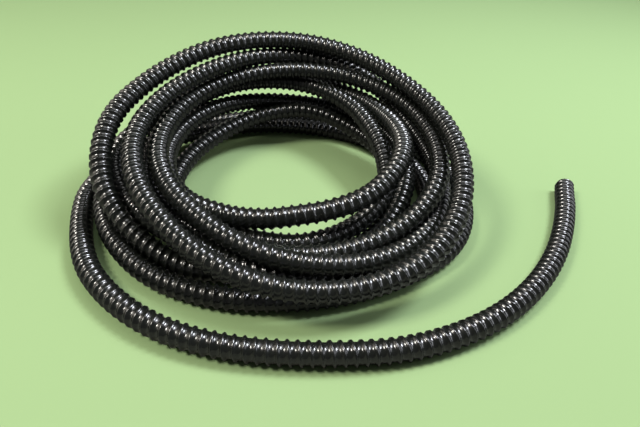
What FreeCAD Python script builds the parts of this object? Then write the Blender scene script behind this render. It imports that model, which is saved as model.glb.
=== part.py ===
import FreeCAD
import Part
import math
import os

os.makedirs("parts", exist_ok=True)
V = FreeCAD.Vector

# Hose, in millimetres: over the crest of its spiral rib, and from there in to the bore.
hose_od = 25.0
crest_to_bore = 3.0
hose_bore = hose_od - 2 * crest_to_bore

# Coil, in millimetres, each place as how far the centre line is from the middle and how high it is.
# A turn has eight places: left, back left, back, back right, right, front right, front, front left.
# The hose runs clockwise seen from above, from the tail in to the hidden inner end.
start_angle = 180.0
stations_per_turn = 8
points_per_station = 2
stations = [
    (270, 12.5), (261, 12.5), (247, 12.5), (229, 12.5), (209, 12.5), (178, 12.5), (178, 12.5), (217, 12.5),
    (245, 30), (231, 16), (211, 12.5), (195, 12.5), (163, 12.5), (142, 12.5), (154, 20), (174, 42),
    (219, 58), (238, 86), (213, 86), (155, 84), (116, 74), (77, 45), (61, 34), (104, 31),
    (159, 53), (194, 61), (187, 65), (168, 51), (130, 38), (110, 12.5), (125, 12.5), (190, 13),
    (234, 104), (210, 147), (204, 150), (185, 124), (189, 90), (199, 53), (196, 47), (187, 64),
    (208, 94), (192, 126), (208, 124), (193, 72), (175, 44), (165, 39), (160, 52), (151, 60),
    (177, 76), (191, 101), (185, 113), (183, 102), (170, 68), (142, 46), (135, 38), (149, 33),
    (191, 44), (209, 83), (184, 92), (127, 72), (105, 45), (93, 29), (106, 29), (129, 16),
    (157, 14), (179, 33), (214, 39), (162, 25), (136, 12.5),
]

# A point half-way between two places that lies off the smooth curve through them, by its number in the route.
mid_places = {29: (165, 34), 41: (95, 58), 47: (137, 41), 61: (152, 12.5),
              63: (229, 60), 65: (222, 126), 85: (208, 108), 87: (179, 54)}

# An arc starts this share of the shorter run away from its point.
arc_share = 0.45

# Tail, in millimetres, from the free end round the front to the coil.
# x is to the right, y away from the front and z up, from the middle of the coil.
tail = [
    (364, 80, 12.5), (355, 54, 12.5), (347, 27, 12.5), (326, -25, 12.5), (298, -79, 12.5),
    (261, -130, 12.5), (217, -173, 12.5), (166, -206, 12.5), (109, -229, 12.5), (50, -238, 12.5),
    (-10, -241, 12.5), (-70, -236, 12.5), (-127, -218, 12.5), (-179, -184, 12.5), (-221, -138, 12.5),
    (-254, -64, 12.5),
]

# The origin is the middle of the box round the whole hose, this far from the middle of the coil.
box_middle = V(48.43, 1.6, 0)


def between(values, index, share):
    """Value on a smooth curve through a list of values, a share of the way past one of them."""
    last = len(values) - 1
    before, here, ahead, after = (values[min(max(index + k, 0), last)] for k in (-1, 0, 1, 2))
    slope = ahead - before
    bend = 2 * before - 5 * here + 4 * ahead - after
    twist = 3 * (here - ahead) + after - before
    return here + share * (slope + share * (bend + share * twist)) / 2


def coil_points():
    """Route points of all the turns, round the middle of the coil."""
    points = []
    reaches = [reach for reach, height in stations]
    heights = [height for reach, height in stations]
    for number in range((len(stations) - 1) * points_per_station + 1):
        index, step = divmod(number, points_per_station)
        share = step / points_per_station
        smooth_place = (between(reaches, index, share), between(heights, index, share))
        reach, height = mid_places.get(number, smooth_place)
        height = max(height, hose_od / 2)
        angle = math.radians(start_angle - 360 / stations_per_turn * (index + share))
        points.append(V(reach * math.cos(angle), reach * math.sin(angle), height))
    return points


def rounded_path(points):
    """Straight runs between the route's points, joined by arcs as large as the runs allow."""
    edges = []
    radii = []
    here = points[0]
    for before, corner, after in zip(points, points[1:], points[2:]):
        to_before = (before - corner).normalize()
        to_after = (after - corner).normalize()
        turn = math.pi - to_before.getAngle(to_after)
        setback = arc_share * min(corner.distanceToPoint(before), corner.distanceToPoint(after))
        radius = setback / math.tan(turn / 2)
        first = corner + to_before * setback
        last = corner + to_after * setback
        inward = (to_before + to_after).normalize()
        middle = corner + inward * (radius / math.cos(turn / 2) - radius)
        edges.append(Part.LineSegment(here, first).toShape())
        edges.append(Part.Arc(first, middle, last).toShape())
        radii.append(radius)
        here = last
    edges.append(Part.LineSegment(here, points[-1]).toShape())
    print("smallest radii", sorted(round(radius) for radius in radii)[:10])
    return edges


def hose(edges):
    """Plain tube along a part of the path, with its bore."""
    path = Part.Wire(edges)
    start = edges[0].valueAt(edges[0].FirstParameter)
    along = edges[0].tangentAt(edges[0].FirstParameter)
    section = Part.makeFace([Part.Wire(Part.makeCircle(diameter / 2, start, along))
                             for diameter in (hose_od, hose_bore)], "Part::FaceMakerBullseye")
    tube = path.makePipe(section)
    share = tube.Volume / (path.Length * section.Area)
    print("length", round(path.Length), "volume over section times length", round(share, 4))
    return tube


# The tail ends with the arc at its last point, and the coil goes on from there.
tail_route = [V(*point) - box_middle for point in tail]
coil_route = [point - box_middle for point in coil_points()]
edges = rounded_path(tail_route + coil_route)
tail_edges = 2 * len(tail) - 2
pieces = {"coil": hose(edges[tail_edges:]), "tail": hose(edges[:tail_edges])}
for name, shape in pieces.items():
    shape.exportStep("parts/" + name + ".step")
    print(name, shape.ShapeType, "valid", shape.isValid(), "solids", len(shape.Solids))
box = Part.makeCompound(list(pieces.values())).optimalBoundingBox(False)
print("box", box, "free end", tail_route[0], "points", (tail_route[0] - tail_route[1]).normalize())
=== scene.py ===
import math

import bmesh
import bpy
import numpy as np
from mathutils import Matrix, Vector


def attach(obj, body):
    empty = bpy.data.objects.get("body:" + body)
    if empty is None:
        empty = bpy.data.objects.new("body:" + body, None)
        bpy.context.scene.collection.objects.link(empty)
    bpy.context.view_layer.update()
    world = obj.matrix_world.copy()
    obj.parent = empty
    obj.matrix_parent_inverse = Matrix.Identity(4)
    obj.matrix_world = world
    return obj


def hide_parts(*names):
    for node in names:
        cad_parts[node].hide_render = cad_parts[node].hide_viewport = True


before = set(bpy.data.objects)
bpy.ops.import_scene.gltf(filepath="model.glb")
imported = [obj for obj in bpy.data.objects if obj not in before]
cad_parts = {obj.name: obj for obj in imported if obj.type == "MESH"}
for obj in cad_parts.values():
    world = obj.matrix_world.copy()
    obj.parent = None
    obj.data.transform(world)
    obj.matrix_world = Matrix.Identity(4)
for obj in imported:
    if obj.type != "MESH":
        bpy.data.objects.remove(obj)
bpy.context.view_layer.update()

# Hose, in metres: a smooth wall with a rounded rib that winds round it like a right-hand thread.
hose_od = 0.025
hose_bore = 0.019
rib_height = 0.0021
rib_pitch = 0.0096

# Profile along one pitch: how far along, and how much of the rib's height stands there.
profile = [(0.0, 0.0), (0.11, 0.6), (0.21, 1.0), (0.31, 1.0), (0.41, 0.6), (0.52, 0.0)]

# Points in a ring round the hose, pitches from one ring of the bore to the next, steps of the spline
# from one route point to the next, and how near two points lie, in metres, that are made one.
sides = 14
bore_ring_gap = 3
route_steps = 16
weld_distance = 1e-6

# Coil, in metres, each place as how far the centre line is from the middle and how high it is.
# A turn has eight places, clockwise seen from above, from the tail at the left to the hidden inner end.
# The places are the part's, apart from those moved by up to 41 mm to follow the photograph.
start_angle = math.pi
stations_per_turn = 8
points_per_station = 2
stations = [
    (0.27, 0.0125), (0.261, 0.0125), (0.247, 0.0125), (0.232, 0.0125),
    (0.211, 0.0125), (0.178, 0.0125), (0.178, 0.0125), (0.217, 0.0125),
    (0.245, 0.03), (0.231, 0.016), (0.211, 0.0125), (0.195, 0.0125),
    (0.163, 0.0125), (0.142, 0.0125), (0.154, 0.02), (0.174, 0.042),
    (0.236, 0.06), (0.238, 0.086), (0.213, 0.086), (0.155, 0.084),
    (0.12, 0.083), (0.102, 0.068), (0.095, 0.057), (0.116, 0.041),
    (0.172, 0.053), (0.193, 0.07), (0.211, 0.053), (0.168, 0.051),
    (0.129, 0.038), (0.114, 0.0125), (0.125, 0.0125), (0.192, 0.013),
    (0.235, 0.104), (0.21, 0.147), (0.204, 0.15), (0.185, 0.124),
    (0.189, 0.09), (0.2, 0.048), (0.196, 0.042), (0.187, 0.062),
    (0.202, 0.094), (0.192, 0.126), (0.208, 0.127), (0.193, 0.072),
    (0.175, 0.044), (0.167, 0.035), (0.16, 0.047), (0.151, 0.058),
    (0.177, 0.076), (0.191, 0.103), (0.186, 0.116), (0.183, 0.102),
    (0.17, 0.068), (0.143, 0.042), (0.135, 0.033), (0.149, 0.033),
    (0.198, 0.042), (0.21, 0.088), (0.19, 0.092), (0.127, 0.072),
    (0.107, 0.04), (0.095, 0.027), (0.106, 0.025), (0.122, 0.02),
    (0.168, 0.014), (0.179, 0.036), (0.186, 0.055), (0.162, 0.025),
    (0.128, 0.0125),
]

# A point half-way between two places that lies off the smooth curve through them, by its number
# in the route.
mid_places = {7: (0.226, 0.0125), 9: (0.198, 0.0125), 29: (0.165, 0.034), 31: (0.204, 0.044),
              33: (0.23, 0.066), 41: (0.107, 0.074), 47: (0.149, 0.042), 51: (0.204, 0.062),
              53: (0.194, 0.057), 57: (0.119, 0.022), 59: (0.117, 0.0125), 61: (0.158, 0.0125),
              63: (0.231, 0.06), 65: (0.222, 0.126), 85: (0.209, 0.113), 87: (0.179, 0.054),
              125: (0.11, 0.025), 133: (0.178, 0.037), 135: (0.139, 0.018)}

# Tail, in metres, from the free end round the front to the coil, from the middle of the coil.
tail = [
    (0.364, 0.08, 0.0125), (0.355, 0.054, 0.0125), (0.347, 0.027, 0.0125), (0.326, -0.025, 0.0125),
    (0.298, -0.079, 0.0125), (0.261, -0.13, 0.0125), (0.217, -0.173, 0.0125), (0.166, -0.206, 0.0125),
    (0.109, -0.229, 0.0125), (0.05, -0.238, 0.0125), (-0.01, -0.241, 0.0125), (-0.07, -0.236, 0.0125),
    (-0.127, -0.218, 0.0125), (-0.179, -0.184, 0.0125), (-0.221, -0.138, 0.0125), (-0.254, -0.064, 0.0125),
]

# The origin is the middle of the box round the whole hose, this far from the middle of the coil.
box_middle = (0.04843, 0.0016, 0.0)

# Surface of the plastic, in metres: faint streaks that run round the hose, and patches that shine less.
# The streaks are drawn coarser than the real ones, so that they show.
streak_length = 0.0087
streak_width = 0.0016
streak_depth = 0.0003
patch_size = 0.0167

# Camera, in metres and degrees, as the photograph was taken.
# The view's width and the focal length are in the photograph's pixels.
camera_place = (-0.02343, -0.5266, 0.373)
camera_down = 35.88
camera_roll = 3.8
nearest_seen = 0.01
view_width = 640
view_focal = 500

# Studio: a floor in metres, soft lamps with their place and size in metres, power in watts and colour,
# and a weak even light from all round.
floor_size = 8.0
lamps = [
    ("key", (1.25, 0.46, 2.14), (0.75, 0.75), 100.0, "#f4f7ff"),
    ("fill", (-1.55, -0.57, 2.1), (0.65, 0.65), 78.0, "#fffaf0"),
    ("top", (0.0, 0.6, 2.4), (1.6, 1.6), 25.0, "#ffffff"),
    ("left", (-2.0, 0.1, 0.8), (1.3, 1.5), 14.0, "#fff6e6"),
    ("right", (2.0, 0.1, 0.8), (0.8, 1.5), 15.0, "#f4f7ff"),
]
even_light = 0.12


def linear(colour):
    """Colour for the renderer from an sRGB hex string.
    Each part is divided by 12.92 near black, and follows a curve with the power 2.4 above that."""
    parts = [int(colour[k:k + 2], 16) / 255 for k in (1, 3, 5)]
    return [p / 12.92 if p <= 0.04045 else ((p + 0.055) / 1.055) ** 2.4 for p in parts] + [1.0]


def between(values, index, share):
    """Value on a smooth curve through a list of values, a share of the way past one of them.
    The curve is a cubic whose slope at each value is half the step between its two neighbours."""
    last = len(values) - 1
    before, here, ahead, after = (values[min(max(index + k, 0), last)] for k in (-1, 0, 1, 2))
    slope = ahead - before
    bend = 2 * before - 5 * here + 4 * ahead - after
    twist = 3 * (here - ahead) + after - before
    return here + share * (slope + share * (bend + share * twist)) / 2


def coil_points():
    """Route points of all the turns, round the middle of the coil.
    A point lies at its reach times the cosine and sine of its angle, an eighth of a turn from one
    place to the next, and never lower than half the hose's width."""
    points = []
    reaches = [reach for reach, height in stations]
    heights = [height for reach, height in stations]
    for number in range((len(stations) - 1) * points_per_station + 1):
        index, step = divmod(number, points_per_station)
        share = step / points_per_station
        smooth_place = (between(reaches, index, share), between(heights, index, share))
        reach, height = mid_places.get(number, smooth_place)
        height = max(height, hose_od / 2)
        angle = start_angle - 2 * math.pi / stations_per_turn * (index + share)
        points.append((reach * math.cos(angle), reach * math.sin(angle), height))
    return points


def smooth_line(points):
    """Points read along a smooth spline that has the route's points as its control points."""
    curve = bpy.data.curves.new("route", "CURVE")
    curve.dimensions = "3D"
    spline = curve.splines.new("NURBS")
    spline.points.add(len(points) - 1)
    spline.points.foreach_set("co", np.hstack([points, np.ones((len(points), 1))]).ravel())
    spline.order_u = 3
    spline.use_endpoint_u = True
    spline.resolution_u = route_steps
    holder = bpy.data.objects.new("route", curve)
    bpy.context.scene.collection.objects.link(holder)
    read = bpy.data.meshes.new_from_object(holder)
    line = np.empty(len(read.vertices) * 3)
    read.vertices.foreach_get("co", line)
    bpy.data.objects.remove(holder)
    bpy.data.meshes.remove(read)
    return line.reshape(-1, 3)


def run_along(line):
    """How far along a line each of its points is."""
    return np.concatenate([[0.0], np.cumsum(np.linalg.norm(np.diff(line, axis=0), axis=1))])


def around(line, place, share, radius):
    """Points at shares of a turn round a line, a radius away from it, in a frame that stays level along it.
    Each point is the line's place, plus the radius times the cosine of its angle in the level
    direction across the line, plus the radius times the sine in the direction square to both."""
    run = run_along(line)
    tangent = np.gradient(line, run, axis=0)
    centre = np.stack([np.interp(place, run, line[:, k]) for k in range(3)], -1)
    along = np.stack([np.interp(place, run, tangent[:, k]) for k in range(3)], -1)
    side = np.cross((0.0, 0.0, 1.0), along)
    side /= np.linalg.norm(side, axis=-1, keepdims=True)
    over = np.cross(along / np.linalg.norm(along, axis=-1, keepdims=True), side)
    turn = 2 * math.pi * share
    return centre + radius * (np.cos(turn)[:, None] * side + np.sin(turn)[:, None] * over)


def thread_rows(share, length):
    """Where along the hose the points of each outside row lie, and how much of the rib stands there.
    A point lies at its row's own place plus the pitch times its share of a turn, so that the rows
    follow the thread. Rows that would run past an end stop in the plane of the cut."""
    along, height = np.array(profile).T
    turns = math.ceil(length / rib_pitch) + 3
    row_place = (np.arange(turns)[:, None] + along - 1).ravel() * rib_pitch
    place = np.clip(row_place[:, None] + share * rib_pitch, 0.0, length)
    phase = (place / rib_pitch - share) % 1.0
    return place, np.interp(phase, np.append(along, 1.0), np.append(height, height[0]))


def hose_faces(outside_rows, bore_rings):
    """Four-sided faces as numbers of points, the outside's rows first and then the bore's rings."""
    # Each row of the outside runs on, after a whole turn, into the row one pitch further.
    row, spot = np.divmod(np.arange((outside_rows - len(profile) - 1) * sides), sides)
    here = row * sides + spot
    beside = np.where(spot + 1 < sides, here + 1, (row + len(profile)) * sides)
    outer = np.stack([here, beside, beside + sides, here + sides], -1)

    # The rings of the bore close on themselves, and their faces look into it.
    first_in = outside_rows * sides
    row, spot = np.divmod(np.arange((bore_rings - 1) * sides), sides)
    here = first_in + row * sides + spot
    beside = here - spot + (spot + 1) % sides
    inner = np.stack([here, here + sides, beside + sides, beside], -1)

    # A flat ring at each cut end joins the bore to the outside.
    spot = np.arange(sides)
    beside = (spot + 1) % sides
    last_out = first_in - sides
    last_in = first_in + (bore_rings - 1) * sides
    front = np.stack([spot, first_in + spot, first_in + beside, beside], -1)
    back = np.stack([last_out + beside, last_in + beside, last_in + spot, last_out + spot], -1)
    return np.concatenate([outer, inner, front, back])


def hose_mesh(name, line):
    """Ribbed tube along a line, closed by its bore and its two cut ends, with its length.
    The outside stands half the hose's width from the line at the crest of the rib, and the rib's
    height less between its turns."""
    length = run_along(line)[-1]
    share = np.arange(sides) / sides
    place, height = thread_rows(share, length)
    rings = round(length / (bore_ring_gap * rib_pitch))
    bore_place = np.linspace(0.0, length, rings)[:, None] + 0 * share
    outside = around(line, place, share, (hose_od / 2 - rib_height * (1 - height))[..., None])
    inside = around(line, bore_place, share, hose_bore / 2)
    points = np.concatenate([outside.reshape(-1, 3), inside.reshape(-1, 3)])
    faces = hose_faces(len(place), rings)
    mesh = bpy.data.meshes.new(name)
    mesh.from_pydata(points, [], faces.tolist())
    smooth = np.ones(len(faces), bool)
    smooth[-2 * sides:] = False
    mesh.polygons.foreach_set("use_smooth", smooth)

    # The map's first number is the share of a turn round the hose, its second the pitches along it.
    pitches = np.concatenate([place.ravel(), bore_place.ravel()]) / rib_pitch
    shares = np.tile(share, len(pitches) // sides)
    where = np.stack([shares[faces], pitches[faces]], -1)
    where[..., 0] += where[..., 0] < where[..., :1, 0] - 0.5
    mesh.uv_layers.new(name="thread").data.foreach_set("uv", where.ravel())
    welded = bmesh.new()
    welded.from_mesh(mesh)
    bmesh.ops.remove_doubles(welded, verts=welded.verts, dist=weld_distance)
    welded.to_mesh(mesh)
    welded.free()
    hose = bpy.data.objects.new(name, mesh)
    bpy.context.scene.collection.objects.link(hose)
    return hose, length


def node(tree, kind, settings=None, **links):
    """Adds a node with its settings, and its sockets set or linked by name."""
    new = tree.nodes.new(kind)
    for name, value in (settings or {}).items():
        setattr(new, name, value)
    for name, value in links.items():
        socket = new.inputs[int(name[1:])] if name[0] == "_" else new.inputs[name.replace("_", " ")]
        if isinstance(value, bpy.types.NodeSocket):
            tree.links.new(value, socket)
        else:
            socket.default_value = value
    return new


def material(name):
    """New material with an empty tree and its output node."""
    made = bpy.data.materials.new(name)
    made.use_nodes = True
    made.node_tree.nodes.clear()
    return made, made.node_tree, made.node_tree.nodes.new("ShaderNodeOutputMaterial")


def black_pvc():
    """Plasticised PVC, extruded: nearly black, with bright narrow highlights on the ribs.
    Faint streaks that run round the hose break the highlights up, and patches shine a little less."""
    made, tree, out = material("black_pvc")
    thread = node(tree, "ShaderNodeUVMap", {"uv_map": "thread"})
    streaks_round = math.pi * hose_od / streak_length
    streaks_along = rib_pitch / streak_width
    spread = node(tree, "ShaderNodeVectorMath", {"operation": "MULTIPLY"},
                  _0=thread.outputs[0], _1=(streaks_round, streaks_along, 1.0))
    drawn = node(tree, "ShaderNodeTexNoise", None, Vector=spread.outputs[0], Scale=1.0, Detail=3.0)
    place = node(tree, "ShaderNodeTexCoord")
    patches = node(tree, "ShaderNodeTexNoise", None,
                   Vector=place.outputs["Object"], Scale=1 / patch_size, Detail=4.0)
    rough = node(tree, "ShaderNodeMapRange", None, Value=patches.outputs[0],
                 From_Min=0.35, From_Max=0.7, To_Min=0.17, To_Max=0.27)
    tint = node(tree, "ShaderNodeMix", {"data_type": "RGBA"}, _0=patches.outputs[0],
                _6=linear("#0b0d0b"), _7=linear("#131512"))
    bump = node(tree, "ShaderNodeBump", None,
                Strength=0.25, Distance=streak_depth, Height=drawn.outputs[0])
    skin = node(tree, "ShaderNodeBsdfPrincipled", None, Base_Color=tint.outputs[2],
                Roughness=rough.outputs[0], IOR=1.54, Normal=bump.outputs[0])
    tree.links.new(skin.outputs[0], out.inputs[0])
    return made


def pale_floor():
    """Plain matt floor, in the pale green of the photograph's ground where the camera sees it.
    Other rays see a greyer tone, so that the floor doesn't tint the hose."""
    made, tree, out = material("pale_floor")
    ray = node(tree, "ShaderNodeLightPath")
    tone = node(tree, "ShaderNodeMix", {"data_type": "RGBA"}, _0=ray.outputs["Is Camera Ray"],
                _6=linear("#6a6e62"), _7=linear("#7a9066"))
    matt = node(tree, "ShaderNodeBsdfDiffuse", None, Color=tone.outputs[2])
    tree.links.new(matt.outputs[0], out.inputs[0])
    return made


def softbox(name, place, size, power, colour):
    """Oblong area light at a place, turned to the origin under the middle of the hose."""
    lamp = bpy.data.lights.new(name, "AREA")
    lamp.shape = "RECTANGLE"
    lamp.size, lamp.size_y = size
    lamp.energy = power
    lamp.color = linear(colour)[:3]
    holder = bpy.data.objects.new(name, lamp)
    holder.location = place
    holder.rotation_euler = (-Vector(place)).to_track_quat("-Z", "Y").to_euler()
    bpy.context.scene.collection.objects.link(holder)


scene = bpy.context.scene
camera = bpy.data.objects.new("camera", bpy.data.cameras.new("camera"))
camera.data.lens = camera.data.sensor_width * view_focal / view_width
camera.data.clip_start = nearest_seen
looks_down = Matrix.Rotation(math.radians(90 - camera_down), 4, "X")
leans = Matrix.Rotation(math.radians(camera_roll), 4, "Z")
camera.matrix_world = Matrix.Translation(camera_place) @ looks_down @ leans
scene.collection.objects.link(camera)
scene.camera = camera

route = np.array(tail + coil_points()) - box_middle
line = smooth_line(route)
hose, hose_length = hose_mesh("hose", line)
hose.data.materials.append(black_pvc())
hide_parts("coil", "tail")
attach(hose, "root")

bpy.ops.mesh.primitive_plane_add(size=floor_size)
floor = bpy.context.object
floor.name = "floor"
floor.data.materials.append(pale_floor())

for lamp in lamps:
    softbox(*lamp)
world = bpy.data.worlds.new("studio")
world.use_nodes = True
world.node_tree.nodes["Background"].inputs["Color"].default_value = linear("#ffffff")
world.node_tree.nodes["Background"].inputs["Strength"].default_value = even_light
scene.world = world
scene.view_settings.view_transform = "Standard"
